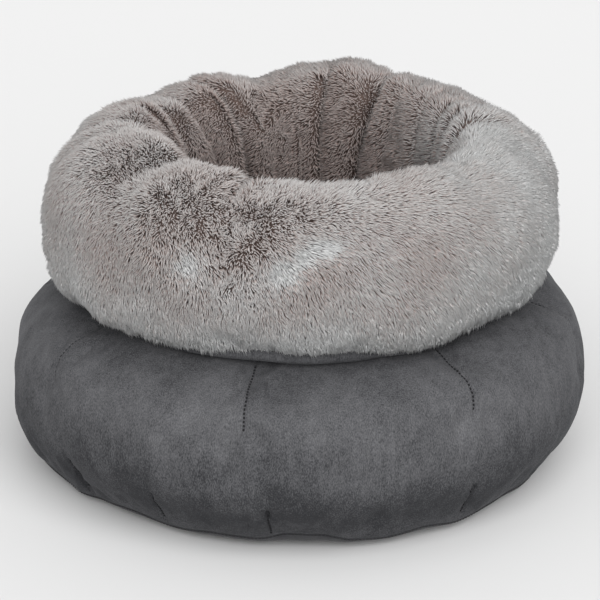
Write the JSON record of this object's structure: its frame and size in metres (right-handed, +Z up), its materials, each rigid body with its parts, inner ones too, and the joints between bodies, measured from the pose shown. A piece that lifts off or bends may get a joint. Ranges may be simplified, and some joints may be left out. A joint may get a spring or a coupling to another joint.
{
  "type": "pet cushion bed",
  "caption": "Round pet bed: a puffy suede base ring with stitched tucks, a deep plush collar above a lined well, and a loose floor cushion that lifts out.",
  "frame": {"origin": "middle of the flat underside, on the surface that the bed stands on", "axes": "+Z up through the middle of the well; the front, which faces the viewer, is towards -Y; +X to the viewer's right"},
  "size_m": [0.45, 0.45, 0.27],
  "materials": {
    "suede": "matte",
    "anti_slip": "matte",
    "plush": "matte",
    "lining_plush": "matte",
    "cushion_plush": "matte",
    "fibre": "matte",
    "thread": "matte"
  },
  "bodies": {
    "bed": {"bottom_panel": "anti_slip", "base_side_panel": "suede", "base_ring_filling": "fibre", "floor_wadding": "fibre", "floor_panel": "lining_plush", "well_lining": "lining_plush", "bottom_seam_thread": "thread", "neck_seam_thread": "thread", "floor_seam_thread": "thread", "upper_dart_thread_1": "thread", "upper_dart_thread_2": "thread", "upper_dart_thread_3": "thread", "upper_dart_thread_4": "thread", "upper_dart_thread_5": "thread", "upper_dart_thread_6": "thread", "upper_dart_thread_7": "thread", "upper_dart_thread_8": "thread", "lower_dart_thread_1": "thread", "lower_dart_thread_2": "thread", "lower_dart_thread_3": "thread", "lower_dart_thread_4": "thread", "lower_dart_thread_5": "thread", "lower_dart_thread_6": "thread", "lower_dart_thread_7": "thread", "lower_dart_thread_8": "thread", "collar_plush": "plush", "collar_underside": "suede", "collar_filling": "fibre", "hem_seam_thread": "thread"},
    "cushion": {"cushion_bottom_cover": "cushion_plush", "cushion_top_cover": "cushion_plush", "cushion_filling": "fibre", "cushion_seam_thread": "thread"}
  },
  "joints": [
    {"name": "cushion_lift", "type": "slide", "parent": "bed", "child": "cushion", "axis": [0, 0, 1], "range_m": [0, 0.26]}
  ]
}
